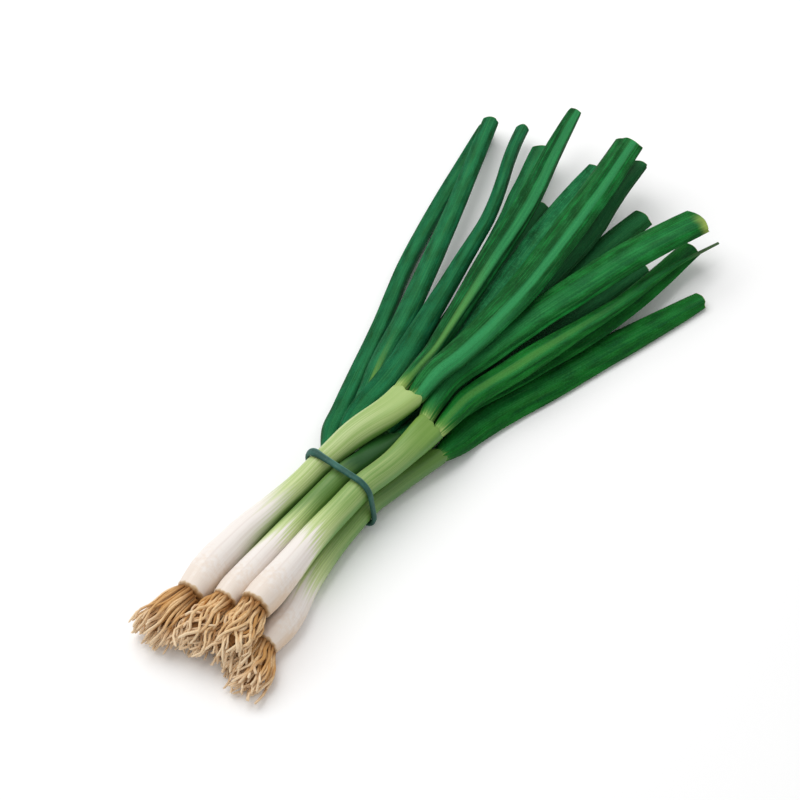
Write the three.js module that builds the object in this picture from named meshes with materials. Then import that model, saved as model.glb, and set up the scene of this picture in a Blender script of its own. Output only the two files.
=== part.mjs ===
// A bunch of six spring onions held by one rubber band, lying on a flat surface.
// Millimetres, +Z up. The onions run along +X, from the root tufts to the cut leaf ends.
// Every plant is a stem (bulb, white shank and leaf sheath), a root tuft and its own leaves.

import * as THREE from "three";

// Driving dimensions
const CLEARANCE = 0.85; // air kept between neighbouring pieces
const PRESS = 0.25; // how far a soft piece is pressed flat where it lies on the surface
const MOUTH_GAP = 0.45; // from the end of a sheath or bulb to the leaf or roots that grow out of it
const GRID = 8; // spacing along X of the sections in which neighbours are kept apart
const SETTLE_ROUNDS = 900;
const PUSH_SHARE = 0.35; // share of an overlap that is taken away in one round
const PUSH_ANGLES = 24; // directions tried when two sections are pushed apart
const SPREAD_SHARE = 0.3; // how much of a push spreads to the sections beside it
const GIVE = { stem: 0.25, leaf: 1, roots: 1 }; // how readily each kind moves when it is pushed
const ASIDE = 2; // sections further apart than this in Y can't touch
const SAMPLES = 12; // straight pieces of a curve between two of its points
const TANGENT_STEP = 2; // distance along X over which a tube's direction is taken
const SQUARE_RUN = 0.12; // share of a tube's length over which it turns square to X at an end

const BAND = {
  x: 2.5, // where the band crosses the bunch's own line
  skew: 0.1, // X per Y: the band lies a little aslant
  halfWidth: 1.6,
  halfThickness: 1.1,
  gap: 0.45, // from the stems
  above: 0.3, // from the surface that the bunch lies on
  sides: 8,
  steps: 56,
  loop: 10, // radius of the plain ring that is bent into shape
};
const STEM = { sides: 12, steps: 20 };
const LEAF = { sides: 10, steps: 16 };
const ROOTS = { sides: 12, steps: 6, flutes: 5, fluteDepth: 0.09 };

const COLOURS = {
  stem: 0xdfe3c8,
  roots: 0xc79a5e,
  leaf: 0x1f6b3a,
  rubber_band: 0x2f5a50,
};

// Each row of a path is a point of the centre line with the section there:
// x, y, z, half width (across, level) and half height.
const STEMS = [
  {
    name: "stem_1",
    path: [
      [-81, 16.8, 14.5, 7.0, 7.0],
      [-75, 17.4, 15, 7.5, 7.5],
      [-63, 18.4, 15, 7.6, 7.6],
      [-47, 18.3, 15.6, 6.9, 6.9],
      [-30, 15.8, 16.8, 6.1, 6.1],
      [2, 11.8, 18.3, 5.4, 5.4],
      [28, 7.2, 21, 6.9, 5.5],
      [57, 1.0, 23.5, 9.0, 5.1],
    ],
  },
  {
    name: "stem_2",
    path: [
      [-77, 1.0, 17.8, 5.8, 5.8],
      [-71, 1.6, 18, 6.0, 6.0],
      [-60, 2.4, 18, 5.7, 5.7],
      [-45, 2.6, 18, 5.2, 5.2],
      [-30, 2.4, 18.3, 5.0, 5.0],
      [2, 1.4, 18.4, 4.9, 4.9],
      [24, -1, 16, 5.4, 5.2],
      [40, -3, 14, 6.2, 5.0],
    ],
  },
  {
    name: "stem_3",
    path: [
      [-73, -11.0, 20.2, 6.9, 6.9],
      [-67, -11.4, 20.6, 7.4, 7.4],
      [-54, -11.2, 20.2, 6.9, 6.9],
      [-40, -10.2, 19.6, 6.2, 6.2],
      [-26, -9.6, 19.4, 5.9, 5.9],
      [2, -10.6, 19.4, 5.8, 5.8],
      [28, -12.5, 18.8, 6.0, 5.4],
      [51, -13.8, 18.8, 6.8, 5.0],
    ],
  },
  {
    name: "stem_4",
    path: [
      [-79, -20.3, 6.6, 5.6, 5.6],
      [-73, -19.8, 6.4, 6.3, 6.3],
      [-61, -17.4, 6.3, 6.4, 6.4],
      [-46, -14.8, 6.6, 5.8, 5.8],
      [-30, -13.2, 7.4, 5.5, 5.5],
      [2, -12.2, 8.2, 5.4, 5.4],
      [26, -16, 7.8, 5.8, 5.4],
      [47, -20.5, 8.5, 7.4, 4.8],
    ],
  },
  {
    name: "stem_5",
    path: [
      [-75, 5.0, 6.4, 5.0, 5.0],
      [-69, 5.6, 6.1, 6.2, 6.2],
      [-57, 7.2, 5.9, 6.0, 6.0],
      [-40, 9.8, 6.4, 5.5, 5.5],
      [2, 10.4, 8.1, 5.4, 5.4],
      [16, 13.5, 7.8, 6.8, 5.4],
    ],
  },
  {
    name: "stem_6",
    path: [
      [-74, -7.6, 6.4, 4.9, 4.9],
      [-68, -7.4, 6.1, 6.2, 6.2],
      [-57, -6.4, 5.9, 6.0, 6.0],
      [-40, -4.0, 6.4, 5.4, 5.4],
      [2, -0.8, 8.0, 5.3, 5.3],
      [30, 3, 6.6, 6.4, 5.0],
    ],
  },
];

const LEAVES = [
  {
    name: "leaf_1_left",
    roll: 14,
    path: [
      [57, 5.4, 24.5, 3.4, 4.4],
      [83, 6.4, 26.5, 4.2, 3.6],
      [111, 10.6, 28, 5.3, 3.3],
      [143, 16, 29, 6.5, 3.1],
      [191, 24, 29, 6.9, 3],
      [234, 35, 28, 5.8, 2.8],
      [269, 43, 27, 4.3, 2.6],
    ],
  },
  {
    name: "leaf_1_right",
    roll: 2,
    path: [
      [57, -2.4, 24.4, 4.5, 4.2],
      [75, -4.2, 26.8, 6.4, 4],
      [100, -6.5, 29, 7.4, 3.6],
      [135, -7.5, 31, 8.1, 3.4],
      [169, -5.5, 32, 8.4, 3.2],
      [217, -1, 32, 8.4, 3.1],
      [260, 5, 31, 7.8, 3],
    ],
  },
  {
    name: "leaf_2_left",
    roll: 6,
    path: [
      [40, 0.5, 14.5, 3.4, 3.2],
      [60, 1, 17, 5.3, 2.9],
      [93, 0.5, 20.5, 6.7, 2.7],
      [128, 4, 22, 7.4, 2.6],
      [161, 7, 22, 7.7, 2.6],
      [205, 11, 21, 7.4, 2.5],
      [244, 13, 20, 6.7, 2.4],
    ],
  },
  {
    name: "leaf_2_middle",
    roll: -12,
    path: [
      [40, -5.5, 14.5, 3.2, 3.2],
      [54, -6, 14.2, 3.8, 2.5],
      [70, -6, 16.5, 4.7, 2.6],
      [110, -8, 19, 5.8, 2.4],
      [160, -9, 19, 6.3, 2.4],
      [201, -8, 18, 6.3, 2.4],
      [228, -4, 18, 6, 2.3],
      [262, -1, 18, 5.6, 2.3],
    ],
  },
  {
    name: "leaf_2_right",
    roll: 8,
    path: [
      [40, -3, 9, 3.6, 2.4],
      [70, -5, 10, 5.5, 2.6],
      [110, -9, 12, 6.5, 2.6],
      [167, -13, 13, 7, 2.6],
      [205, -17, 13, 7.2, 2.6],
      [234, -20, 12, 6.7, 2.5],
    ],
  },
  {
    name: "leaf_3_left",
    roll: 8,
    path: [
      [51, -10, 19.5, 3.6, 4.2],
      [78, -8, 21, 6.2, 3],
      [99, -11.5, 22.5, 7.3, 2.6],
      [124, -17, 24.5, 8.1, 2.5],
      [158, -27, 26.5, 8.6, 2.4],
      [189, -35.5, 27, 8.6, 2.4],
      [212, -42.5, 26, 8.6, 2.5],
      [236, -50, 24, 8.4, 2.6],
    ],
  },
  {
    name: "leaf_3_right",
    roll: 10,
    path: [
      [51, -17.2, 18.5, 3.2, 3.8],
      [69, -15.5, 18.8, 5.3, 3.2],
      [100, -26, 19, 6.4, 2.9],
      [123, -32, 18.5, 6.2, 2.7],
      [146, -38, 17.5, 4.8, 2.4],
      [172, -44, 16, 4.1, 2],
      [195, -48, 15, 3.1, 1.5],
      [212, -52, 14, 1.4, 1],
      [238, -60, 12, 0.8, 0.6],
    ],
  },
  {
    name: "leaf_4_left",
    roll: 0,
    path: [
      [47, -15.5, 9, 3.0, 3.6],
      [70, -15.5, 9, 5.4, 3.0],
      [105, -26, 9, 6.8, 2.8],
      [145, -36.5, 9, 7.6, 2.7],
      [186, -44.5, 9, 7.4, 2.6],
      [232, -49.5, 9, 6.2, 2.4],
    ],
  },
  {
    name: "leaf_4_right",
    roll: 4,
    path: [
      [47, -22.5, 8.5, 3.8, 4.2],
      [65, -21.5, 6.5, 8.0, 4.0],
      [88, -26.5, 5, 10.2, 3.8],
      [110, -34.5, 4, 9.8, 3.6],
      [140, -45.5, 3.6, 8.6, 3.4],
      [175, -58, 3.2, 7.2, 3.2],
      [208, -69.5, 2.9, 5.2, 3.1],
    ],
  },
  {
    name: "leaf_5_left",
    roll: 0,
    path: [
      [16, 17, 6.5, 2.9, 4.2],
      [30, 25.5, 6, 4.9, 3.8],
      [54, 34, 5, 4.9, 3.2],
      [102, 48.6, 5, 4.7, 3],
      [140, 61.6, 4.6, 4.6, 3],
      [184, 73.2, 3.6, 4.7, 3],
      [255, 88.6, 2.9, 4.8, 3.1],
    ],
  },
  {
    name: "leaf_5_middle",
    roll: -6,
    path: [
      [16, 11.5, 7, 2.4, 4.2],
      [33, 17, 8, 4.6, 3.4],
      [50, 22, 10.5, 5, 3.2],
      [76, 30.5, 11.5, 5.4, 3],
      [107, 38, 12, 5.7, 2.8],
      [139, 47.5, 12, 5.7, 2.7],
      [179, 60, 11.5, 5.3, 2.6],
      [254, 85, 11, 5, 2.6],
    ],
  },
  {
    name: "leaf_5_right",
    roll: 10,
    path: [
      [16, 8, 11, 2.6, 2.6],
      [33, 16.5, 15, 5.5, 2.8],
      [71, 19.5, 16, 6.5, 2.7],
      [105, 26, 15.5, 5.6, 2.6],
      [144, 34, 14, 4.6, 2.6],
      [188, 42.2, 13, 3.7, 2.6],
      [204, 48.2, 12.6, 3.6, 2.6],
      [219, 54.5, 12, 3.5, 2.6],
      [240, 62.5, 11, 3.5, 2.6],
      [260, 68.5, 10, 3.6, 2.6],
    ],
  },
  {
    name: "leaf_6_left",
    roll: -8,
    path: [
      [30, 7.2, 7, 2.0, 3.8],
      [60, 13, 9, 5.5, 2.8],
      [95, 17, 10, 6.5, 2.6],
      [125, 19.5, 11, 6.2, 2.5],
      [156, 26.5, 12, 6.2, 2.5],
      [198, 36.5, 12.5, 6.2, 2.5],
      [225, 43, 12.5, 6.3, 2.5],
      [250, 50.5, 12, 6.4, 2.5],
    ],
  },
  {
    name: "leaf_6_middle",
    roll: 0,
    path: [
      [30, 2.7, 5.8, 1.9, 3.6],
      [60, 2.5, 4.5, 4.8, 2.8],
      [100, 9, 4, 5.6, 2.8],
      [158, 21, 4, 5.5, 2.8],
      [189, 27, 3, 5.3, 2.8],
      [222, 32, 2.4, 5.0, 2.8],
    ],
  },
  {
    name: "leaf_6_right",
    roll: 0,
    path: [
      [30, -1.7, 5.8, 1.9, 3.4],
      [50, -3.5, 4.8, 4.0, 2.8],
      [80, -8, 4, 5.6, 2.7],
      [120, -16, 4, 6.4, 2.7],
      [165, -26, 3, 6.4, 2.7],
      [212, -35, 2.4, 5.6, 2.7],
    ],
  },
];

const ROOT_TUFTS = [
  {
    name: "roots_1",
    path: [
      [-108, 22.4, 7.5, 9.8, 6.4],
      [-98, 21.2, 9.5, 9.6, 6.8],
      [-89, 18.6, 12.5, 8.2, 6.8],
      [-81, 16.4, 14.5, 6.3, 6.3],
    ],
  },
  {
    name: "roots_2",
    path: [
      [-104, 4.4, 13, 8.0, 5.8],
      [-95, 3.8, 15, 7.8, 6.0],
      [-85, 2.2, 17, 6.4, 5.6],
      [-77, 1.0, 17.8, 5.3, 5.3],
    ],
  },
  {
    name: "roots_3",
    path: [
      [-100, -11.4, 14, 8.0, 6.4],
      [-91, -11.6, 16.5, 8.0, 6.6],
      [-81, -11.3, 19, 7.0, 6.2],
      [-73, -11, 20.2, 6.3, 6.3],
    ],
  },
  {
    name: "roots_4",
    path: [
      [-105, -24.8, 4.8, 8.8, 5.0],
      [-95, -24, 5.4, 8.4, 5.6],
      [-86, -22, 6.2, 6.8, 5.8],
      [-79, -20.5, 6.6, 5.1, 5.1],
    ],
  },
  {
    name: "roots_5",
    path: [
      [-101, 5, 3.2, 7.2, 3.4],
      [-92, 4.8, 4.4, 7.0, 4.6],
      [-82, 5, 6, 5.8, 5.2],
      [-75, 5.0, 6.4, 4.6, 4.6],
    ],
  },
  {
    name: "roots_6",
    path: [
      [-100, -9.5, 3.2, 7.0, 3.4],
      [-91, -9, 4.4, 6.8, 4.6],
      [-81, -8, 6, 5.8, 5.2],
      [-74, -7.6, 6.4, 4.5, 4.5],
    ],
  },
];

// A smooth curve through points, read off at any x
function curveThrough(points) {
  const curve = new THREE.CatmullRomCurve3(points, false, "centripetal");
  const samples = curve.getPoints(points.length * SAMPLES);
  return (x) => {
    const found = samples.findIndex((p) => p.x >= x);
    const i = found < 0 ? samples.length - 1 : Math.max(1, found);
    const share = (x - samples[i - 1].x) / (samples[i].x - samples[i - 1].x);
    return samples[i - 1].clone().lerp(samples[i], share);
  };
}

// One column of a path as a function of x
function columnOf(path, column) {
  const curve = curveThrough(path.map((row) => new THREE.Vector3(row[0], row[column], 0)));
  return (x) => curve(x).y;
}

// A tube is one stem, leaf or root tuft, cut by the grid planes into sections
function tubeOf(kind, entry, startX, endX) {
  const [yOf, zOf, widthOf, heightOf] = [1, 2, 3, 4].map((column) => columnOf(entry.path, column));
  const sections = [];
  for (let g = Math.floor(startX / GRID); g <= Math.ceil(endX / GRID); g++) {
    const x = g * GRID;
    const slope = (yOf(x + 1) - yOf(x - 1)) / 2;
    sections.push({
      x,
      y: yOf(x),
      z: zOf(x),
      // a slanting tube is cut wider by the plane than its own section
      halfWidth: widthOf(x) * Math.hypot(1, slope),
      halfHeight: heightOf(x),
      inside: x > startX - GRID / 2 && x < endX + GRID / 2,
    });
  }
  return {
    kind,
    name: entry.name,
    plant: entry.name.split("_")[1],
    startX,
    endX,
    widthOf,
    heightOf,
    roll: THREE.MathUtils.degToRad(entry.roll || 0),
    firstGrid: Math.floor(startX / GRID),
    sections,
  };
}

// How far a section reaches from its centre in the direction of the angle
function reach(section, roll, angle) {
  const across = Math.cos(angle - roll) * section.halfWidth;
  const up = Math.sin(angle - roll) * section.halfHeight;
  return Math.hypot(across, up);
}

// The direction in which two sections are best kept apart, and how far they are apart along it
function separation(tubeA, a, tubeB, b) {
  let best = { gap: -Infinity, angle: 0 };
  for (let k = 0; k < PUSH_ANGLES; k++) {
    const angle = (k / PUSH_ANGLES) * 2 * Math.PI;
    const along = (b.y - a.y) * Math.cos(angle) + (b.z - a.z) * Math.sin(angle);
    const gap = along - reach(a, tubeA.roll, angle) - reach(b, tubeB.roll, angle);
    if (gap > best.gap) best = { gap, angle };
  }
  return best;
}

// Pushes neighbours apart, section by section, until nothing touches
function settle(tubes) {
  for (const tube of tubes) tube.sections.forEach((s) => Object.assign(s, { dy: 0, dz: 0 }));
  for (let round = 0; round < SETTLE_ROUNDS; round++) {
    tubes.forEach((tubeA, i) => {
      for (const tubeB of tubes.slice(i + 1)) {
        if (tubeA.plant === tubeB.plant && tubeA.kind !== tubeB.kind) continue;
        for (const a of tubeA.sections) {
          const b = tubeB.sections[a.x / GRID - tubeB.firstGrid];
          if (!b || !a.inside || !b.inside) continue;
          if (Math.abs(a.y - b.y) > a.halfWidth + b.halfWidth + ASIDE) continue;
          const { gap, angle } = separation(tubeA, a, tubeB, b);
          if (gap >= CLEARANCE) continue;
          const giveA = GIVE[tubeA.kind];
          const giveB = GIVE[tubeB.kind];
          const push = ((CLEARANCE - gap) * PUSH_SHARE) / (giveA + giveB);
          a.dy -= Math.cos(angle) * push * giveA;
          a.dz -= Math.sin(angle) * push * giveA;
          b.dy += Math.cos(angle) * push * giveB;
          b.dz += Math.sin(angle) * push * giveB;
        }
      }
    });
    for (const tube of tubes) {
      spread(tube.sections);
      for (const s of tube.sections) {
        s.y += s.dy;
        s.z += s.dz;
        s.dy = 0;
        s.dz = 0;
        s.z = Math.max(s.z, lowestCentre(tube, s));
      }
    }
  }
}

// A tube lies on the surface, pressed a little flat, and a stem lies on the band that goes round it
function lowestCentre(tube, section) {
  const half = reach(section, tube.roll, -Math.PI / 2);
  const bandUnder = tube.kind === "stem" && Math.abs(section.x - BAND.x) < GRID;
  return bandUnder ? half + BAND.gap + 2 * BAND.halfThickness + BAND.above : half - PRESS;
}

// A push bends the tube smoothly: part of it is shared with the sections on either side
function spread(sections) {
  const pushes = sections.map((s) => [s.dy, s.dz]);
  const last = sections.length - 1;
  sections.forEach((s, i) => {
    const before = pushes[Math.max(0, i - 1)];
    const after = pushes[Math.min(last, i + 1)];
    s.dy = pushes[i][0] * (1 - SPREAD_SHARE) + ((before[0] + after[0]) * SPREAD_SHARE) / 2;
    s.dz = pushes[i][1] * (1 - SPREAD_SHARE) + ((before[1] + after[1]) * SPREAD_SHARE) / 2;
  });
}

// The settled centre line of a tube
function centreLine(tube) {
  return curveThrough(tube.sections.map((s) => new THREE.Vector3(s.x, s.y, s.z)));
}

// A closed cylinder whose rings are carried to the centre line and shaped there
function sweep(tube, sides, steps, squareEnds, shape = () => 1) {
  const geometry = new THREE.CylinderGeometry(1, 1, 1, sides, steps);
  const position = geometry.getAttribute("position");
  const pointAt = centreLine(tube);
  for (let i = 0; i < position.count; i++) {
    const t = position.getY(i) + 0.5;
    const x = THREE.MathUtils.lerp(tube.startX, tube.endX, t);
    const centre = pointAt(x);
    const tangent = pointAt(x + TANGENT_STEP).sub(pointAt(x - TANGENT_STEP)).normalize();
    const away = Math.min(...squareEnds.map((end) => Math.abs(t - end)));
    const square = 1 - THREE.MathUtils.smoothstep(away, 0, SQUARE_RUN);
    tangent.lerp(new THREE.Vector3(1, 0, 0), square).normalize();
    const left = new THREE.Vector3(0, 0, 1).cross(tangent).normalize();
    const up = tangent.clone().cross(left);
    // a flat side lies at the bottom
    const turn = sides % 4 === 0 ? Math.PI / sides : 0;
    const ringAngle = Math.atan2(position.getX(i), position.getZ(i)) + turn;
    const radius = Math.hypot(position.getX(i), position.getZ(i));
    const scale = radius * shape(t, ringAngle);
    const across = Math.cos(ringAngle) * tube.widthOf(x) * scale;
    const height = Math.sin(ringAngle) * tube.heightOf(x) * scale;
    const cos = Math.cos(tube.roll);
    const sin = Math.sin(tube.roll);
    centre.addScaledVector(left, across * cos - height * sin);
    centre.addScaledVector(up, across * sin + height * cos);
    position.setXYZ(i, centre.x, centre.y, Math.max(0, centre.z));
  }
  geometry.computeVertexNormals();
  return geometry;
}

// The rubber band follows the tight outline of the stems where it crosses them
function bandGeometry(stems) {
  const geometry = new THREE.TorusGeometry(BAND.loop, 1, BAND.sides, BAND.steps);
  const position = geometry.getAttribute("position");
  const circles = stems.map((stem) => {
    const pointAt = centreLine(stem);
    const rough = pointAt(BAND.x);
    const centre = pointAt(BAND.x + BAND.skew * rough.y);
    return { y: centre.y, z: centre.z, radius: stem.widthOf(centre.x) };
  });
  for (let i = 0; i < position.count; i++) {
    const angle = Math.atan2(position.getY(i), position.getX(i));
    const outward = Math.hypot(position.getX(i), position.getY(i)) - BAND.loop;
    const normal = [Math.cos(angle), Math.sin(angle)];
    const past = (c) => c.y * normal[0] + c.z * normal[1] + c.radius;
    const outermost = circles.reduce((best, c) => (past(c) > past(best) ? c : best));
    const distance = outermost.radius + BAND.gap + BAND.halfThickness * (1 + outward);
    const y = outermost.y + normal[0] * distance;
    const z = outermost.z + normal[1] * distance;
    const x = BAND.x + BAND.skew * y + position.getZ(i) * BAND.halfWidth;
    position.setXYZ(i, x, y, z);
  }
  geometry.computeVertexNormals();
  return geometry;
}

function material(colour) {
  return new THREE.MeshStandardMaterial({ color: colour, roughness: 0.5, metalness: 0 });
}

function mesh(name, geometry, colour) {
  const made = new THREE.Mesh(geometry, material(colour));
  made.name = name;
  return made;
}

const lastX = (entry) => entry.path[entry.path.length - 1][0];
const stemTubes = STEMS.map((s) => tubeOf("stem", s, s.path[0][0], lastX(s)));
const leafTubes = LEAVES.map((l) => tubeOf("leaf", l, l.path[0][0] + MOUTH_GAP, lastX(l)));
const rootTubes = ROOT_TUFTS.map((r) => tubeOf("roots", r, r.path[0][0], lastX(r) - MOUTH_GAP));
settle([...stemTubes, ...leafTubes, ...rootTubes]);

const bunch = new THREE.Group();
for (const tube of stemTubes) {
  bunch.add(mesh(tube.name, sweep(tube, STEM.sides, STEM.steps, [0, 1]), COLOURS.stem));
}
for (const tube of leafTubes) {
  bunch.add(mesh(tube.name, sweep(tube, LEAF.sides, LEAF.steps, [0]), COLOURS.leaf));
}
const flutes = (t, angle) => 1 - ROOTS.fluteDepth * (1 - t) * Math.cos(ROOTS.flutes * angle);
for (const tube of rootTubes) {
  bunch.add(mesh(tube.name, sweep(tube, ROOTS.sides, ROOTS.steps, [1], flutes), COLOURS.roots));
}
bunch.add(mesh("rubber_band", bandGeometry(stemTubes), COLOURS.rubber_band));

// The origin is the middle of the bunch's box, on the surface that it lies on
const box = new THREE.Box3().setFromObject(bunch);
const middle = box.getCenter(new THREE.Vector3());
bunch.position.set(-middle.x, -middle.y, -box.min.z);

export default bunch;
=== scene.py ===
import math
import bmesh
import bpy
import numpy as np
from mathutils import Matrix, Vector, noise


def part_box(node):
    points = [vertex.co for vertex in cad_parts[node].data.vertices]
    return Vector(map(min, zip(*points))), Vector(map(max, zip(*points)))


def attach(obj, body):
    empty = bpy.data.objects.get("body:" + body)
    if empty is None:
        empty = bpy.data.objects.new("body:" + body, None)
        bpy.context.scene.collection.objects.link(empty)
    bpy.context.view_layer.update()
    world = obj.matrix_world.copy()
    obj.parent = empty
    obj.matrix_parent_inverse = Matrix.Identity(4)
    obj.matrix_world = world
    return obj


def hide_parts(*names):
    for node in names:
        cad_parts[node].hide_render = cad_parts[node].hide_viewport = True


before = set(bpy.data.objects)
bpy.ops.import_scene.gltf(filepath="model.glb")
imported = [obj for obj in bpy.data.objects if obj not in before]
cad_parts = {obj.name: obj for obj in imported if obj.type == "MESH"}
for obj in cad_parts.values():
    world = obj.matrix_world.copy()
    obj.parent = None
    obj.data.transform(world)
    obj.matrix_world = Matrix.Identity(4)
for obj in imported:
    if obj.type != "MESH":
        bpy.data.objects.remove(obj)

# A bunch of spring onions with a rubber band round it, lying on a pale floor.
# Metres. X runs along the bunch from the roots to the leaf ends, and Z is up.

mm = 0.001
fullTurn = 2 * math.pi
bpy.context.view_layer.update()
bpy.ops.object.select_all(action="DESELECT")


# Camera, first of all: it looks at the band from the root end, to one side and from above

camera = {
    "beyondBand": (59 * mm, 9.5 * mm),   # the point looked at, from the middle of the band
    "height": 12 * mm,
    "azimuth": math.radians(-55),
    "elevation": math.radians(48),
    "distance": 0.9,
    "lens": 88,
}

bandLow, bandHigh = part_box("rubber_band")
bandMiddle = (bandLow + bandHigh) / 2


def addCamera(look):
    azimuth, elevation = look["azimuth"], look["elevation"]
    flat = math.cos(elevation)
    back = Vector((math.sin(azimuth) * flat, -math.cos(azimuth) * flat, math.sin(elevation)))
    beyond, aside = look["beyondBand"]
    aim = Vector((bandMiddle.x + beyond, bandMiddle.y + aside, look["height"]))
    bpy.ops.object.camera_add(location=aim + back * look["distance"])
    made = bpy.context.object
    made.rotation_mode = "QUATERNION"
    made.rotation_quaternion = (-back).to_track_quat("-Z", "Y")
    made.data.lens = look["lens"]
    bpy.context.scene.camera = made


addCamera(camera)
print("camera in place")


# Shader writing

def colour(red, green, blue):
    # from screen values, 0 to 255, to the linear light that the nodes use
    steps = [v / 255 for v in (red, green, blue)]
    return tuple(v / 12.92 if v < 0.04045 else ((v + 0.055) / 1.055) ** 2.4 for v in steps) + (1,)


class Wire:
    # one output socket; sums and products on it add Math nodes
    def __init__(self, finish, socket):
        self.finish = finish
        self.socket = socket

    def __add__(self, other):
        return self.finish.sum("ADD", self, other)

    def __sub__(self, other):
        return self.finish.sum("SUBTRACT", self, other)

    def __rsub__(self, other):
        return self.finish.sum("SUBTRACT", other, self)

    def __mul__(self, other):
        return self.finish.sum("MULTIPLY", self, other)

    __radd__ = __add__
    __rmul__ = __mul__


class Finish:
    # one material, written node by node
    def __init__(self, name):
        self.material = bpy.data.materials.new(name)
        self.material.use_nodes = True
        self.tree = self.material.node_tree
        self.shader = self.tree.nodes["Principled BSDF"]

    def node(self, kind, settings=None, sockets=None, output=0):
        made = self.tree.nodes.new(kind)
        for key, value in (settings or {}).items():
            setattr(made, key, value)
        for key, value in (sockets or {}).items():
            self.put(made.inputs[key], value)
        return Wire(self, made.outputs[output])

    def put(self, socket, value):
        if isinstance(value, Wire):
            self.tree.links.new(value.socket, socket)
        else:
            socket.default_value = value

    def sum(self, operation, first, second):
        return self.node("ShaderNodeMath", {"operation": operation}, {0: first, 1: second})

    def smooth(self, value, low, high):
        # 0 at low, 1 at high, and the same on beyond each
        settings = {"interpolation_type": "SMOOTHSTEP"}
        return self.node("ShaderNodeMapRange", settings, {"Value": value, "From Min": low, "From Max": high})

    def mix(self, share, first, second):
        settings = {"data_type": "RGBA", "clamp_factor": True}
        return self.node("ShaderNodeMix", settings, {0: share, 6: first, 7: second}, 2)

    def scaled(self, vector, by):
        return self.node("ShaderNodeVectorMath", {"operation": "MULTIPLY"}, {0: vector, 1: by})

    def noise(self, vector, scale, detail, rough=0.5):
        sockets = {"Vector": vector, "Scale": scale, "Detail": detail, "Roughness": rough}
        return self.node("ShaderNodeTexNoise", None, sockets)

    def grain(self, stretch, scale, detail, rough):
        # noise drawn out along the piece
        return self.noise(self.scaled(self.skin(), (1, 1, stretch)), scale, detail, rough)

    def skin(self):
        # the piece rolled straight, in millimetres: round the skin in x and y, along it in z
        return self.node("ShaderNodeAttribute", {"attribute_name": "skin"}, None, 1)

    def along(self):
        return self.node("ShaderNodeSeparateXYZ", None, {0: self.skin()}, 2)

    def facing(self, angle, width):
        # 1 on the line at this angle round the piece, 0 beyond its width
        sockets = {0: self.skin(), 1: (math.cos(angle) / skinRadius, math.sin(angle) / skinRadius, 0)}
        turned = self.node("ShaderNodeVectorMath", {"operation": "DOT_PRODUCT"}, sockets, 1)
        return self.smooth(turned, math.cos(width), 1)

    def bump(self, height, distance, strength):
        sockets = {"Height": height, "Distance": distance, "Strength": strength}
        self.put(self.shader.inputs["Normal"], self.node("ShaderNodeBump", None, sockets))

    def set(self, **values):
        for key, value in values.items():
            self.put(self.shader.inputs[key.replace("_", " ")], value)


# Reading the frame: every stem, leaf and root tuft is a tube of rings between two end caps

skinRadius = 6           # mm, the radius that every piece is rolled out to in the skin attribute
frameWeld = 0.004 * mm   # corners of the frame's meshes closer than this are one corner


def tubeOf(name):
    # a merged copy of the node's mesh; rings are found by stepping away from the cap's middle
    work = bmesh.new()
    work.from_mesh(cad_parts[name].data)
    bmesh.ops.remove_doubles(work, verts=work.verts, dist=frameWeld)
    work.verts.ensure_lookup_table()
    places = np.array([v.co[:] for v in work.verts])
    near = [[e.other_vert(v).index for e in v.link_edges] for v in work.verts]
    work.free()
    caps = sorted(range(len(near)), key=lambda i: -len(near[i]))[:2]
    start, end = sorted(caps, key=lambda i: places[i][0])
    seen = {start}
    ring = sorted(near[start])
    rings = []
    while len(ring) == len(near[start]) and end not in ring:
        rings.append(ring)
        seen.update(ring)
        ring = sorted({n for i in ring for n in near[i]} - seen)
    middles, across, upward = [], [], []
    before = None
    for ring in rings:
        points = places[ring]
        middle = points.mean(0)
        turned = points - middle
        order = np.argsort(np.arctan2(turned[:, 2], turned[:, 1]) % fullTurn)
        turned = turned[order]
        if before is not None:
            shifts = [np.roll(turned, k, axis=0) for k in range(len(ring))]
            turned = min(shifts, key=lambda s: float(((s - before) ** 2).sum()))
        before = turned
        angles = np.arange(len(ring)) * fullTurn / len(ring)
        middles.append(middle)
        across.append(2 / len(ring) * (turned * np.cos(angles)[:, None]).sum(0))
        upward.append(2 / len(ring) * (turned * np.sin(angles)[:, None]).sum(0))
    # the first ring's first corner may stand anywhere, so every ring is turned back to start at +Y
    table = np.array([middles, across, upward])
    lean = math.atan2(across[0][2], across[0][1])
    cosine, sine = math.cos(lean), math.sin(lean)
    table[1], table[2] = table[1] * cosine - table[2] * sine, table[1] * sine + table[2] * cosine
    steps = np.linalg.norm(np.diff(table[0], axis=0), axis=1)
    return {"table": table, "lengths": np.concatenate([[0], np.cumsum(steps)]), "length": steps.sum()}


def alongTube(tube, distance):
    # middle, sideways and upward half axes at a distance from the tube's start, smoothly between its rings
    lengths, table = tube["lengths"], tube["table"]
    i = int(np.clip(np.searchsorted(lengths, distance) - 1, 0, len(lengths) - 2))
    share = (distance - lengths[i]) / (lengths[i + 1] - lengths[i])
    if share < 0 or share > 1:  # straight on past an end
        inside = min(max(share, 0), 1)
        at = table[:, i] + (table[:, i + 1] - table[:, i]) * inside
        at[0] += (table[0, i + 1] - table[0, i]) * (share - inside)
        return at
    a = table[:, max(i - 1, 0)]
    b = table[:, i]
    c = table[:, i + 1]
    d = table[:, min(i + 2, len(lengths) - 1)]
    square, cube = share ** 2, share ** 3
    bend = (2 * a - 5 * b + 4 * c - d) * square
    turn = (3 * b - a - 3 * c + d) * cube
    return 0.5 * (2 * b + (c - a) * share + bend + turn)


tubes = {name: tubeOf(name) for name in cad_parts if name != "rubber_band"}
print("read", len(tubes), "tubes from the frame")


# Skins: a grid is added, rolled round a tube and sewn along its seam and at its poles

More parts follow.
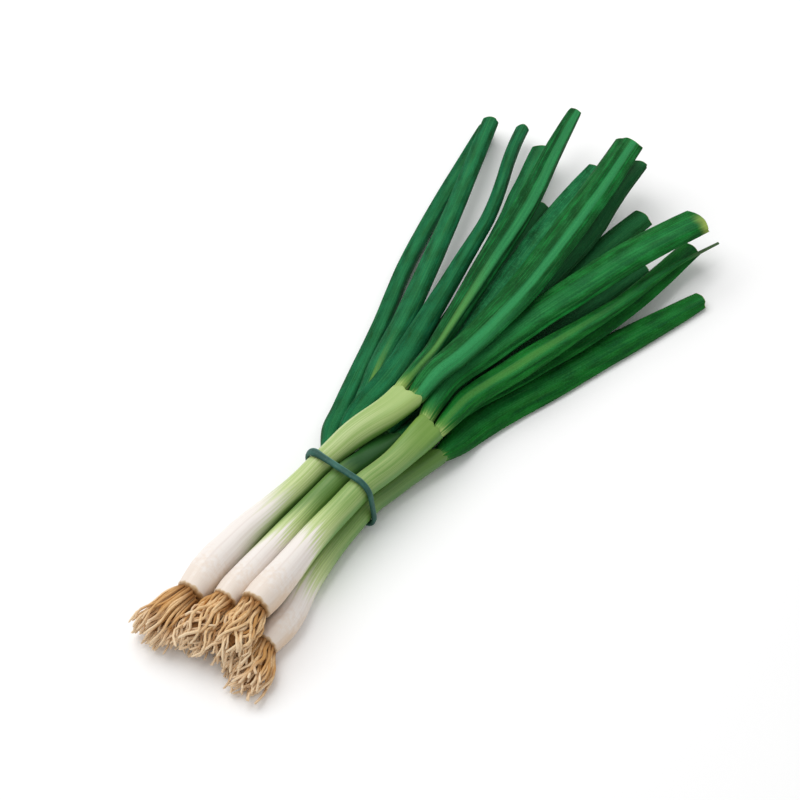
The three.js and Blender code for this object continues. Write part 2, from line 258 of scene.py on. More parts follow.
seamWeld = 0.002 * mm      # corners closer than this are merged along a seam and at a pole
strandWeld = 0.0005 * mm   # and on the thin root strands


def rolledGrid(name, places, skin):
    rows, around = places.shape[0] - 1, places.shape[1] - 1
    bpy.ops.mesh.primitive_grid_add(x_subdivisions=around, y_subdivisions=rows, size=2)
    made = bpy.context.object
    made.name = name
    made.data.name = name
    flat = np.empty(len(made.data.vertices) * 3)
    made.data.vertices.foreach_get("co", flat)
    flat = flat.reshape(-1, 3)
    i = np.rint((flat[:, 0] + 1) / 2 * around).astype(int)
    j = np.rint((flat[:, 1] + 1) / 2 * rows).astype(int)
    made.data.vertices.foreach_set("co", places[j, i].ravel())
    attribute = made.data.attributes.new("skin", "FLOAT_VECTOR", "POINT")
    attribute.data.foreach_set("vector", skin[j, i].ravel())
    made.data.update()
    return made


def sew(piece, distance=seamWeld):
    # the seam and the poles are merged, and the faces turned outwards
    bpy.ops.object.select_all(action="DESELECT")
    piece.select_set(True)
    bpy.context.view_layer.objects.active = piece
    bpy.ops.object.mode_set(mode="EDIT")
    bpy.ops.mesh.select_all(action="SELECT")
    bpy.ops.mesh.remove_doubles(threshold=distance)
    bpy.ops.mesh.normals_make_consistent(inside=False)
    bpy.ops.mesh.select_all(action="DESELECT")
    bpy.ops.object.mode_set(mode="OBJECT")
    bpy.ops.object.shade_smooth()
    bpy.ops.object.select_all(action="DESELECT")


def skinPoints(angles, distance):
    ring = np.zeros((len(angles), 3))
    ring[:, 0] = np.cos(angles) * skinRadius
    ring[:, 1] = np.sin(angles) * skinRadius
    ring[:, 2] = distance / mm
    return ring


def ease(value, low, high):
    share = np.clip((value - low) / (high - low), 0, 1)
    return share * share * (3 - 2 * share)


def ringNoise(angles, wide, shift, height):
    # smooth noise round a ring, from -1 to 1
    return np.array([noise.noise((math.cos(a) * wide + shift, math.sin(a) * wide, height)) for a in angles])


def unevenness(angles, distance, seed, grain=14 * mm):
    # slow swelling and thinning of a plant's skin
    return ringNoise(angles, 0.8, seed * 7.3, distance / grain)


def finishPiece(piece, node, material):
    piece.data.materials.clear()
    piece.data.materials.append(material)
    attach(piece, "root")
    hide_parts(node)


# Leaves: hollow, ribbed and slightly flattened tubes, cut off at the far end

leafBuild = {
    "around": 48,
    "step": 2.6 * mm,
    "root": 9 * mm,         # how far a leaf reaches back into its sheath
    "rootRows": ((1, 0), (1, 0.35), (0.7, 0.66), (0.4, 0.82), (0.15, 0.91)),   # share of that, size
    "neck": 0.97,           # size where it leaves the sheath
    "lip": 1 * mm,          # the last part before the cut has rows of its own: back from the cut, size, inset
    "lipRows": ((0.4 * mm, 0.995, 0), (0.08 * mm, 1, 0.12 * mm), (0, 1, 0.3 * mm), (0.1 * mm, 1, 0.55 * mm)),
    "hollow": 22 * mm,      # how deep the open end goes
    "hollowRows": (0.6 * mm, 3 * mm, 7 * mm, 12 * mm, 17 * mm),
    "hollowTip": 3 * mm,
    "wall": 0.7 * mm,
    "wallShare": 0.6,       # of the leaf's half width at most
    "shapeRun": (4 * mm, 40 * mm),   # over which corners and creases come in
    "squeezeRun": 16 * mm,
    "cutLean": 1.2 * mm,    # the knife's cut isn't quite square
    "leanRun": 12 * mm,
    "cutRound": 1.8 * mm,   # and its corners are rounded
    "roundRun": 8 * mm,
    "swell": 0.02,
}

# corners: how many flat sides the leaf has; flat: how strong they are; turn: where they start
# twist: how far they turn over the whole leaf; creases: angle, depth as a share of the radius, width
# squeeze: how far the cut end is pressed flat; pale: where the sheath's pale colour gives way, mm up the leaf
# tone: how much of it is bright; cool, warm: how much of that green; mottle: how much spotted bloom
# ridge: angle, strength, reach in mm, width and colour of a line up from the sheath
# shine: angle, width and strength of a painted highlight on the lit side, in the bloom colour; rim: how pale
# the cut edge is
# dry: where the leaf dries out, mm up the leaf
leafLooks = {
    "leaf_1_left": dict(
        corners=4, flat=0.6, turn=0.45, twist=0.6, creases=[(2.6, 0.10, 0.3)], squeeze=0.25,
        pale=(0, 12), tone=0.35, ridge=(2.0, 0.45, 100, 0.5, "ridge"), shine=(2.1, 0.55, 0.75)),
    # its ridge line, in the bloom colour, is a painted highlight along the top of the leaf
    "leaf_1_right": dict(
        corners=4, flat=0.6, turn=0.15, twist=-0.35, creases=[(1.2, 0.08, 0.25)], squeeze=0.2,
        pale=(-6, 3), tone=0.35, ridge=(2.3, 0.75, 90, 0.8, "bloom"), shine=(1.95, 0.4, 0.85), warm=0.2),
    "leaf_2_left": dict(
        corners=4, flat=0.5, turn=0.2, twist=0.5, creases=[(1.9, 0.07, 0.4)], squeeze=0.3,
        pale=(-8, 2), tone=0.4, mottle=0.8, cool=0.6),
    "leaf_2_middle": dict(
        corners=4, flat=0.5, turn=0.3, twist=0.5, creases=[(2.2, 0.08, 0.3)], squeeze=0.35,
        pale=(-8, 2), tone=0.1),
    "leaf_2_right": dict(
        corners=3, flat=0.35, turn=0.1, twist=0.8, creases=[(1.6, 0.08, 0.3)], squeeze=0.2,
        pale=(-8, 2), tone=0.05),
    "leaf_3_left": dict(
        corners=4, flat=0.45, turn=0.0, twist=0.35, creases=[(2.9, 0.12, 0.2)], squeeze=0.15,
        pale=(-2, 10), tone=0.34, rim=0.75, warm=0.5),
    "leaf_3_right": dict(
        corners=4, flat=0.6, turn=0.35, twist=0.6, creases=[(2.5, 0.10, 0.25)], squeeze=0.1,
        pale=(-2, 10), tone=0.15, ridge=(1.7, 0.55, 150, 0.45, "fresh"), dry=168, warm=0.8),
    "leaf_4_left": dict(
        corners=3, flat=0.3, turn=0.7, twist=0.3, creases=[(2.1, 0.08, 0.3)], squeeze=0.3,
        pale=(-6, 2), tone=0.05, shine=(1.8, 0.5, 0.1), warm=0.7),
    "leaf_4_right": dict(
        corners=4, flat=0.5, turn=0.25, twist=0.4, creases=[(2.3, 0.07, 0.35)], squeeze=0.2,
        pale=(-6, 2), tone=0.05, shine=(1.8, 0.5, 0.12), warm=0.7),
    "leaf_5_left": dict(
        corners=4, flat=0.5, turn=0.3, twist=0.5, creases=[(1.7, 0.08, 0.3)], squeeze=0.2,
        pale=(-6, 4), tone=0.25, cool=0.8),
    "leaf_5_middle": dict(
        corners=4, flat=0.35, turn=0.4, twist=0.4, creases=[(2.2, 0.09, 0.25)], squeeze=0.2,
        pale=(8, 44), tone=0.3, ridge=(1.9, 0.9, 84, 0.42, "ridge"), cool=0.8),
    "leaf_5_right": dict(
        corners=4, flat=0.35, turn=0.6, twist=-0.4, creases=[(2.4, 0.08, 0.3)], squeeze=0.3,
        pale=(-6, 4), tone=0.2, cool=0.9),
    "leaf_6_left": dict(
        corners=4, flat=0.5, turn=0.3, twist=0.5, creases=[(2.0, 0.08, 0.3)], squeeze=0.35,
        pale=(-4, 8), tone=0.3, cool=0.4),
    "leaf_6_middle": dict(
        corners=3, flat=0.3, turn=0.9, twist=0.3, creases=[(1.9, 0.08, 0.3)], squeeze=0.3,
        pale=(-4, 8), tone=0.1),
    "leaf_6_right": dict(
        corners=3, flat=0.3, turn=0.4, twist=0.4, creases=[(2.2, 0.08, 0.3)], squeeze=0.3,
        pale=(-4, 8), tone=0.1),
}

# each noise: how far it is drawn out along the leaf, scale, detail, roughness
leafGrain = {
    "streaks": (0.014, 0.9, 3, 0.6),
    "veins": (0.006, 4.5, 2, 0.5),
    "patches": (0.35, 0.22, 3, 0.5),
    "spots": (0.6, 1.1, 2, 0.5),
    "speckle": (0.5, 2.2, 3, 0.7),
}


def polygonRadius(angles, corners):
    # 1 at the corners of a polygon, less along its sides
    side = fullTurn / corners
    return math.cos(side / 2) / np.cos(angles % side - side / 2)


def leafRadius(look, angles, distance, length, seed):
    share = min(max(distance / length, 0), 1)
    settled = ease(distance, *leafBuild["shapeRun"])
    corner = polygonRadius(angles - look["turn"] - look["twist"] * share, look["corners"])
    radius = 1 - look["flat"] * settled * (1 - corner)
    for angle, depth, width in look["creases"]:
        away = (angles - angle - look["twist"] * share + math.pi) % fullTurn - math.pi
        radius = radius - depth * settled * np.exp(-((away / width) ** 2))
    return radius + leafBuild["swell"] * unevenness(angles, distance, seed)


def leafRows(length):
    # distance along, size, how far inside the outer skin
    build = leafBuild
    rows = [(-share * build["root"], size, 0) for share, size in build["rootRows"]]
    end = length - build["lip"]
    count = math.ceil(end / build["step"])
    rows += [(s, build["neck"] if s == 0 else 1, 0) for s in np.linspace(0, end, count)]
    rows += [(length - back, size, inset) for back, size, inset in build["lipRows"]]
    rows += [(length - back, 1, build["wall"]) for back in build["hollowRows"]]
    bottom = length - build["hollow"]
    return rows + [(bottom, 0.5, build["wall"]), (bottom - build["hollowTip"], 0, 0)]


def addLeaf(name, seed):
    build, look, tube = leafBuild, leafLooks[name], tubes[name]
    stem = tubes["stem_" + name.split("_")[1]]
    sheathEnd = alongTube(stem, stem["length"])[0]
    length = tube["length"]
    angles = np.linspace(0, fullTurn, build["around"] + 1)
    places, skin = [], []
    cut = 0 if "dry" in look else 1   # a leaf that dries out to a spike has no knife's cut
    for distance, size, inset in leafRows(length):
        middle, across, upward = alongTube(tube, max(distance, 0))
        if distance < 0:
            middle = middle + alongTube(stem, stem["length"] + distance)[0] - sheathEnd
        wide, high = np.linalg.norm(across), np.linalg.norm(upward)
        inset = min(inset, build["wallShare"] * min(wide, high))
        pinch = 1 - look["squeeze"] * ease(distance, length - build["squeezeRun"], length)
        radius = size * leafRadius(look, angles, distance, length, seed)
        lean = cut * build["cutLean"] * ease(distance, length - build["leanRun"], length)
        rounding = cut * build["cutRound"] * ease(distance, length - build["roundRun"], length)
        onward = np.cross(across, upward)
        onward = onward / np.linalg.norm(onward) * (1 if onward[0] > 0 else -1)
        ring = middle + np.outer(np.cos(angles) * radius * (1 - inset / wide), across)
        ring += np.outer(np.sin(angles) * radius * (pinch - inset / high), upward)
        ring -= np.outer(lean * (1 + np.cos(angles - seed)) / 2 + rounding * np.cos(angles) ** 2, onward)
        ring[:, 2] = np.maximum(ring[:, 2], 0)
        places.append(ring)
        skin.append(skinPoints(angles, distance))
    piece = rolledGrid("skin_" + name, np.array(places), np.array(skin))
    sew(piece)
    finishPiece(piece, name, leafFinish(name, look, length / mm))


leafColours = {
    "pale": colour(178, 198, 120),
    "fresh": colour(92, 146, 60),
    "green": colour(1, 118, 48),
    "dark": colour(0, 62, 22),
    # bloom: the colour of the waxy bloom, also used for the painted highlights on the lit side
    "bloom": colour(56, 152, 92),
    "ridge": colour(128, 166, 64),
    "rim": colour(172, 190, 96),
    "dry": colour(92, 112, 78),
    "cool": colour(4, 96, 62),
    "warm": colour(14, 114, 26),
}


def leafFinish(name, look, length):
    f = Finish("leafGreen_" + name)
    along = f.along()
    streaks, veins, patches, spots, speckle = [f.grain(*leafGrain[kind]) for kind in leafGrain]
    low, high = look["pale"]
    wander = along + (streaks - 0.5) * (16 + high * 0.6)
    base = f.mix(f.smooth(wander, low - 4, low + 8), leafColours["pale"], leafColours["fresh"])
    tone = look["tone"]
    bright = f.smooth(streaks * 0.8 + patches * 0.35, 0.72 - tone * 0.5, 0.92 - tone * 0.35)
    body = f.mix(bright, leafColours["dark"], leafColours["green"])
    for tint in ("cool", "warm"):
        if tint in look:
            body = f.mix(f.smooth(patches + streaks * 0.4, 0.4, 0.9) * look[tint], body, leafColours[tint])
    base = f.mix(f.smooth(wander, low, high), base, body)
    share = 0.1 + 0.4 * tone + 0.25 * look.get("mottle", 0)
    bloom = f.smooth(patches * 0.5 + veins * 0.6, 0.5, 0.72) * share
    base = f.mix(bloom * f.smooth(along, low, high), base, leafColours["bloom"])
    if "mottle" in look:
        base = f.mix(f.smooth(spots, 0.52, 0.72) * (0.5 * look["mottle"]), base, leafColours["bloom"])
    # painted highlight: the side of every leaf that faces the light is mixed towards the bloom colour
    angle, width, strength = look.get("shine", (1.8, 0.7, 0.28))
    lit = f.facing(angle, width) * f.smooth(along, low, high) * (0.55 + veins * 0.5 + streaks * 0.3)
    base = f.mix(lit * strength, base, leafColours["bloom"])
    # on leaf_1_right, whose line takes the bloom colour, this line is a painted highlight
    if "ridge" in look:
        angle, strength, reach, width, tint = look["ridge"]
        line = f.facing(angle, width) * (1 - f.smooth(wander, reach * 0.35, reach)) * (0.5 + veins * 0.7)
        base = f.mix(line * strength, base, leafColours[tint])
    base = f.mix(f.smooth(veins, 0.45, 0.75) * 0.14, base, leafColours["fresh"])
    base = f.mix(f.smooth(speckle, 0.5, 0.75) * 0.3, base, leafColours["bloom"])
    base = f.mix(f.smooth(speckle, 0.5, 0.3) * 0.3, base, leafColours["dark"])
    if "rim" in look:
        rim = f.smooth(along + streaks * 3, length - 7, length) * f.facing(2.7, 1.7)
        base = f.mix(rim * look["rim"], base, leafColours["rim"])
    else:
        base = f.mix(f.smooth(along, length - 1.0, length - 0.2) * 0.5, base, leafColours["rim"])
    if "dry" in look:
        base = f.mix(f.smooth(along, look["dry"], look["dry"] + 14) * 0.75, base, leafColours["dry"])
    f.set(Base_Color=base, Roughness=0.45 + patches * 0.2, Specular_IOR_Level=0.08)
    f.bump(veins * 0.6 + streaks * 0.4, 0.5 * mm, 0.7)
    return f.material


for number, name in enumerate(leafLooks):
    addLeaf(name, number + 1)
print("leaves made:", len(leafLooks))


# Stems: bulb with its root plate, white shank and pale green sheath that opens round the leaves

stemBuild = {
    "around": 60,
    "step": 2 * mm,
    "plate": 0.9 * mm,      # the root plate stands out of the bulb's end
    "plateRows": ((1, 0), (1, 0.4), (1, 0.72), (0.6, 0.9), (0, 0.98)),   # share of that, size
    "shoulder": (0.7 * mm, 1.02),
    "bodyStart": 1.6 * mm,
    "bodyEnd": 1 * mm,
    "ends": 2.5 * mm,       # left out when the rows of the body are counted
    # the uneven edge and the shallow dome that closes it: past the end, size, inset
    "mouthRows": (
        (-0.3 * mm, 1, 0.04 * mm), (0, 1, 0.14 * mm), (0.1 * mm, 0.98, 0.25 * mm),
        (0.5 * mm, 0.8, 0), (0.8 * mm, 0.45, 0), (0.9 * mm, 0, 0)),
    "mouthRun": 30 * mm,    # over which the sheath takes the outline of its leaves
    "mouthLip": 1.01,
    "outlineSteps": 120,
    "ragged": 3.4 * mm,     # its edge there is uneven
    "plump": 0.32 * mm,     # the white part swells towards its neighbours
    "plumpRun": (40 * mm, 66 * mm),
    "folds": 3,             # edges of one sheath layer over the next
    "foldTurn": 2.1,        # from one stem's first fold to the next one's, in radians
    "foldGap": 2.2,         # between two folds of a stem
    "foldLead": 90 * mm,
    "foldSlopes": (0.35, 0.05),
    "foldHeight": 0.02,
    "foldRun": (12 * mm, 60 * mm),
    "swell": 0.012,
    "swellGrain": 20 * mm,
    "swellSeed": 20,
    "narrowest": 1 * mm,    # no half width counts as less
}

# white: how far up it stays white, in mm; fade: over how many mm it turns green
# green: how green the sheath is; mouth: how green its end is; lean: the side where the green comes lowest
# deep: how far it darkens above the white; side: how dark its shaded side is
# dark: how dark it is past the band
stemLooks = {
    "stem_1": dict(white=46, fade=24, green=0.35, lean=3.6, mouth=0.3, deep=0, side=0.9, dark=0),
    "stem_2": dict(white=34, fade=14, green=0.7, lean=0.2, mouth=0.8, deep=0.6, side=0.5, dark=0.95),
    "stem_3": dict(white=35, fade=12, green=0.6, lean=3.9, mouth=1, deep=0.1, side=0.9, dark=0.12),
    "stem_4": dict(white=25, fade=18, green=0.7, lean=0.3, mouth=1, deep=0.35, side=0.6, dark=0.4),
    "stem_5": dict(white=30, fade=18, green=0.9, lean=1.5, mouth=0.9, deep=0.7, side=0.5, dark=0.5),
    "stem_6": dict(white=30, fade=18, green=0.9, lean=1.5, mouth=0.9, deep=0.7, side=0.5, dark=0.7),
}


def leavesOf(stem):
    return [n for n in leafLooks if n.split("_")[1] == stem.split("_")[1]]


def mouthOutline(stem, angles):
    # how far out, as a share of the stem's own section, a skin stretched round its leaves reaches
    middle, across, upward = alongTube(tubes[stem], tubes[stem]["length"])
    directions = np.linspace(0, fullTurn, stemBuild["outlineSteps"], endpoint=False)
    outward = np.array([np.cos(directions), np.sin(directions)])
    farthest = np.full(len(directions), -1.0)
    for leaf in leavesOf(stem):
        leafMiddle, leafAcross, leafUpward = alongTube(tubes[leaf], 0)
        half = np.hypot(leafAcross[1:] @ outward, leafUpward[1:] @ outward)
        farthest = np.maximum(farthest, (leafMiddle - middle)[1:] @ outward + half)
    reach = []
    for angle in angles:
        toward = (math.cos(angle) * across + math.sin(angle) * upward)[1:] @ outward
        reach.append((farthest[toward > 0] / toward[toward > 0]).min())
    return np.array(reach)


def stemRows(length):
    # distance along, size, how far inside the outer skin
    build = stemBuild
    rows = [(-share * build["plate"], size, 0) for share, size in build["plateRows"]]
    rows.append((*build["shoulder"], 0))
    count = math.ceil((length - build["ends"]) / build["step"])
    rows += [(s, 1, 0) for s in np.linspace(build["bodyStart"], length - build["bodyEnd"], count)]
    return rows + [(length + past, size, inset) for past, size, inset in build["mouthRows"]]


def sheathFolds(angles, distance, seed):
    # each edge falls off softly on one side and sharply on the other
    build = stemBuild
    soft, sharp = build["foldSlopes"]
    folds = np.zeros(len(angles))
    for k in range(build["folds"]):
        at = seed * build["foldTurn"] + k * build["foldGap"] + distance / build["foldLead"]
        away = (angles - at + math.pi) % fullTurn - math.pi
        folds += np.where(away > 0, np.exp(-away / soft), np.exp(away / sharp)) * build["foldHeight"]
    return folds * ease(distance, *build["foldRun"])


def addStem(name, seed):
    build, tube = stemBuild, tubes[name]
    length = tube["length"]
    angles = np.linspace(0, fullTurn, build["around"] + 1)
    outline = mouthOutline(name, angles)
    ragged = 0.5 + ringNoise(angles, 2.6, seed * 5, 0.5) * 0.9
    places, skin = [], []
    for distance, size, inset in stemRows(length):
        opening = ease(distance, length - build["mouthRun"], length)
        back = build["ragged"] * ragged * opening ** 2
        plump = build["plump"] * (1 - ease(distance, *build["plumpRun"]))
        ring = np.empty((len(angles), 3))
        fold = sheathFolds(angles, distance, seed)
        radius = (1 - opening) * (1 + fold) + opening * outline * build["mouthLip"]
        bumps = unevenness(angles, distance, seed + build["swellSeed"], build["swellGrain"])
        radius = size * (radius + build["swell"] * bumps)
        for k, angle in enumerate(angles):
            middle, across, upward = alongTube(tube, distance - back[k])
            wide = max(np.linalg.norm(across), build["narrowest"])
            shrink = radius[k] * (1 - inset / wide) + size * plump / wide
            ring[k] = middle + shrink * (math.cos(angle) * across + math.sin(angle) * upward)
        ring[:, 2] = np.maximum(ring[:, 2], 0)
        places.append(ring)
        skin.append(skinPoints(angles, distance))
    piece = rolledGrid("skin_" + name, np.array(places), np.array(skin))
    sew(piece)
    finishPiece(piece, name, stemFinish(name, stemLooks[name], length / mm))


stemColours = {
    "plate": colour(158, 116, 68),
    "plateEdge": colour(206, 178, 140),
    "white": colour(236, 229, 223),
    "shade": colour(216, 202, 194),
    "cream": colour(204, 214, 158),
    "pale": colour(166, 190, 112),
    "green": colour(120, 160, 62),
    "deep": colour(80, 134, 46),
    "groove": colour(56, 104, 34),
    "dark": colour(20, 74, 26),
    "tan": colour(214, 184, 150),
}


# each noise: how far it is drawn out along the stem, scale, detail, roughness
stemGrain = {
    "streaks": (0.012, 0.8, 3, 0.6),
    "veins": (0.008, 3.6, 2, 0.5),
}


def stemFinish(name, look, length):
    f = Finish("sheath_" + name)
    along = f.along()
    top, fade = look["white"], look["fade"]
    streaks, veins = [f.grain(*stemGrain[kind]) for kind in stemGrain]
    grime = f.noise(f.skin(), 0.5, 3)
    wander = along + (streaks - 0.5) * 40 + f.facing(look["lean"], 1.4) * 16
    white = f.mix(f.smooth(streaks, 0.45, 0.75) * 0.5, stemColours["white"], stemColours["shade"])
    pale = f.mix(f.smooth(veins * 0.5 + streaks * 0.5, 0.4, 0.62), stemColours["pale"], stemColours["cream"])
    green = f.mix(f.smooth(veins * 0.4 + streaks * 0.6, 0.42, 0.6), stemColours["deep"], stemColours["green"])
    green = f.mix(look["green"], pale, green)
    base = f.mix(f.smooth(wander, top, top + fade), white, pale)
    base = f.mix(f.smooth(wander, top + fade * 0.6, top + fade * 2.6), base, green)
    mouth = f.mix(look["mouth"], stemColours["pale"], stemColours["green"])
    base = f.mix(f.smooth(along + (streaks - 0.5) * 20, length - 34, length - 4) * 0.75, base, mouth)
    base = f.mix(f.smooth(wander, top + 12, top + 34) * look["deep"], base, stemColours["groove"])
    side = f.facing(3.5, 1.0) * f.smooth(wander, top + 4, top + 30) * look["side"]
    base = f.mix(side * (0.5 + streaks * 0.8), base, stemColours["deep"])
    beyond = (bandMiddle.x - tubes[name]["table"][0, 0, 0]) / mm
    shaded = f.smooth(along + (streaks - 0.5) * 16, beyond - 3, beyond + 10) * look["dark"]
    base = f.mix(shaded, base, stemColours["dark"])
    low = 1 - f.smooth(along, 6, 38)
    tan = f.smooth(grime * 40 - along, -2, 16) * 0.3 + f.facing(3.4, 1.0) * low * 0.5
    base = f.mix(tan, base, stemColours["tan"])
    base = f.mix(f.smooth(grime * 3 - along, 0.2, 1.6), base, stemColours["plateEdge"])
    base = f.mix(f.smooth(grime * 2 - along, 0.6, 1.8), base, stemColours["plate"])
    f.set(Base_Color=base, Roughness=0.34 + streaks * 0.2, Specular_IOR_Level=0.4)
    f.set(Coat_Weight=0.1, Coat_Roughness=0.3)
    f.bump(veins * 0.5 + streaks * 0.5, 0.3 * mm, 0.5)
    return f.material


for number, name in enumerate(stemLooks):
    addStem(name, number + 1)
print("stems made:", len(stemLooks))


# Root tufts: each strand is its own thin tapering tube, and they fan out of the bulb's plate

rootBuild = {
    "around": 6,
    "rows": 12,
    "thick": (0.55 * mm, 0.92 * mm),   # radius where a strand leaves the plate
    "tip": 0.72,
    "bodyEnd": 0.97,          # share of the strand's length where its blunt end begins
    "lastRow": 0.99,
    "start": (-0.05, 0.07),   # where it leaves the plate, as a share of the tuft's length
    "atPlate": 0.97,          # how wide the strands stand there, as a share of the tuft's section
    "turn": 2.39996,          # from one strand to the next, the golden angle
    "lowest": 1 * mm,         # no strand's middle comes lower
    "skinLowest": 0.02 * mm,  # and no strand's skin
    "firstSeed": 40,
    "coreAround": 24,
    "coreRows": (             # share along the tuft, size
        (0, 0), (0.02, 0.66), (0.15, 0.55), (0.3, 0.45),
        (0.45, 0.4), (0.6, 0.34), (0.72, 0.22), (0.8, 0)),
    "coreLowest": 0.4 * mm,
    "coreSkin": (-60, 0, 8),  # a tint below the strands' own marks the core
}

# curl: how far a strand winds round its tuft; wave: how much it strays, as a share of the tuft's width
# spill: how far the outer strands reach past the tuft's outline; droop: how far the ends sink
rootLooks = {
    "roots_1": dict(strands=66, curl=0.4, wave=0.12, shortest=0.7, spill=1.12, droop=0),
    "roots_2": dict(strands=76, curl=1.1, wave=0.34, shortest=0.45, spill=1.25, droop=4 * mm),
    "roots_3": dict(strands=84, curl=1.2, wave=0.36, shortest=0.45, spill=1.2, droop=5 * mm),
    "roots_4": dict(strands=64, curl=0.5, wave=0.22, shortest=0.6, spill=1.05, droop=0),
    "roots_5": dict(strands=30, curl=0.6, wave=0.22, shortest=0.6, spill=1.2, droop=0),
    "roots_6": dict(strands=30, curl=0.6, wave=0.22, shortest=0.6, spill=1.2, droop=0),
}


def strandRows():
    # share of the strand's length, and size there; both ends are blunt
    tip = rootBuild["tip"]
    shares = np.linspace(0, rootBuild["bodyEnd"], rootBuild["rows"])
    body = [(share, 1 - (1 - tip) * share) for share in shares]
    return [(0, 0)] + body + [(rootBuild["lastRow"], 0.5 * tip), (1, 0)]


def strandPath(tube, look, k, random):
    # from the plate at the tuft's narrow end outwards
    golden = k * rootBuild["turn"]
    outward = math.sqrt((k + 0.5) / look["strands"])
    reach = random.uniform(look["shortest"], 1)
    start = random.uniform(*rootBuild["start"])
    curl = random.uniform(-1, 1) * look["curl"]
    waves = random.uniform(0.7, 1.9, 2)
    phase = random.uniform(0, fullTurn, 2)
    points = []
    for share, _ in strandRows():
        middle, across, upward = alongTube(tube, tube["length"] * (1 - start - share * (reach - start)))
        angle = golden + curl * share ** 1.5
        spread = outward * (rootBuild["atPlate"] + (look["spill"] - rootBuild["atPlate"]) * share)
        stray = look["wave"] * share ** 0.8
        side = spread * math.cos(angle) + stray * math.sin(phase[0] + waves[0] * fullTurn * share)
        rise = spread * math.sin(angle) + stray * math.sin(phase[1] + waves[1] * fullTurn * share)
        far = math.hypot(side, rise)
        if far > look["spill"]:
            side, rise = side * look["spill"] / far, rise * look["spill"] / far
        point = middle + side * across + rise * upward
        point[2] = max(point[2] - look["droop"] * share ** 2, rootBuild["lowest"])
        points.append(point)
    return np.array(points)


def tuftCore(tube):
    # the heart of the tuft, seen between its strands, dark with painted shade
    angles = np.linspace(0, fullTurn, rootBuild["coreAround"] + 1)
    places, skin = [], []
    for share, size in rootBuild["coreRows"]:
        middle, across, upward = alongTube(tube, tube["length"] * (1 - share))
        radius = size * (1 + 0.12 * np.cos(5 * angles + share * 9) + 0.06 * np.cos(9 * angles - share * 14))
        ring = middle + np.outer(np.cos(angles) * radius, across) + np.outer(np.sin(angles) * radius, upward)
        ring[:, 2] = np.maximum(ring[:, 2], rootBuild["coreLowest"])
        places.append(ring)
        skin.append(np.tile(rootBuild["coreSkin"], (len(angles), 1)))
    return rolledGrid("shadedCore", np.array(places), np.array(skin))


def addTuft(name, seed):
    look, tube = rootLooks[name], tubes[name]
    random = np.random.default_rng(seed)
    angles = np.linspace(0, fullTurn, rootBuild["around"] + 1)
    strands = [tuftCore(tube)]
    for k in range(look["strands"]):
        path = strandPath(tube, look, k, random)
        thick = random.uniform(*rootBuild["thick"])
        tint = random.uniform(0, 1)
        places, skin = [], []
        for j, (point, (share, size)) in enumerate(zip(path, strandRows())):
            onward = Vector(path[min(j + 1, len(path) - 1)] - path[max(j - 1, 0)]).normalized()
            side = onward.cross(Vector((0, 0, 1))).normalized()
            top = side.cross(onward)
            ring = point + thick * size * (np.outer(np.cos(angles), side) + np.outer(np.sin(angles), top))
            ring[:, 2] = np.maximum(ring[:, 2], rootBuild["skinLowest"])
            places.append(ring)
            skin.append(np.tile((tint * 100, k * 10, share * 30), (len(angles), 1)))
        strands.append(rolledGrid("strand", np.array(places), np.array(skin)))
    bpy.ops.object.select_all(action="DESELECT")
    for strand in strands:
        strand.select_set(True)
    bpy.context.view_layer.objects.active = strands[0]
    bpy.ops.object.join()
    tuft = bpy.context.object
    tuft.name = "skin_" + name
    tuft.data.name = "skin_" + name
    sew(tuft, strandWeld)
    finishPiece(tuft, name, rootFinish)


rootColours = {
    "tan": colour(202, 152, 90),
    "straw": colour(236, 202, 154),
    "shadedCore": colour(122, 80, 36),
    "specks": colour(184, 134, 78),
    "collar": colour(156, 108, 58),
    "ends": colour(240, 222, 194),
}


def makeRootFinish():
    f = Finish("rootFibre")
    tint = f.node("ShaderNodeSeparateXYZ", None, {0: f.skin()}, 0)
    place = f.node("ShaderNodeTexCoord", None, None, 3)
    grain = f.noise(place, 900, 3)
    base = f.mix(f.smooth(tint, 10, 90), rootColours["tan"], rootColours["straw"])
    # painted shade: the core takes a dark brown that stands for the shade between the strands
    base = f.mix(f.smooth(tint, -60, 0), rootColours["shadedCore"], base)
    base = f.mix(f.smooth(grain, 0.45, 0.7) * 0.4, base, rootColours["specks"])
    base = f.mix(1 - f.smooth(f.along(), 0.5, 8), base, rootColours["collar"])
    base = f.mix(f.smooth(f.along(), 16, 30) * 0.6, base, rootColours["ends"])
    f.set(Base_Color=base, Roughness=0.75, Specular_IOR_Level=0.3)
    f.bump(grain, 0.25 * mm, 0.6)
    return f.material


rootFinish = makeRootFinish()
for number, name in enumerate(rootLooks):
    addTuft(name, rootBuild["firstSeed"] + number)
print("root tufts made:", len(rootLooks))


# The rubber band: a rounded strap drawn tight round the stems

band = {
    "node": "rubber_band",
    "skew": 0.1,             # it lies a little aslant, metres of X for each metre of Y
    "gap": 0.45 * mm,
    "halfThick": 1.0 * mm,
    "halfWide": 1.55 * mm,
    "square": 2.6,           # 2 is an ellipse, more is squarer
    "around": 20,
    "steps": 200,
    "twist": 0.35,
    "knot": 0.22,            # it bunches up where it turns round the outer stem
    "knotAt": 0.07,          # share of the way round
    "knotWide": 0.03,
    "twistFrom": 2.2,
    "search": 400,           # places along a stem where the band may cross it
    "outline": 1440,         # directions in which the outline is taken
}

bandColours = {
    "dark": colour(26, 74, 64),
    "worn": colour(46, 100, 88),
    "dust": colour(104, 134, 128),
    "lit": colour(112, 158, 146),
}


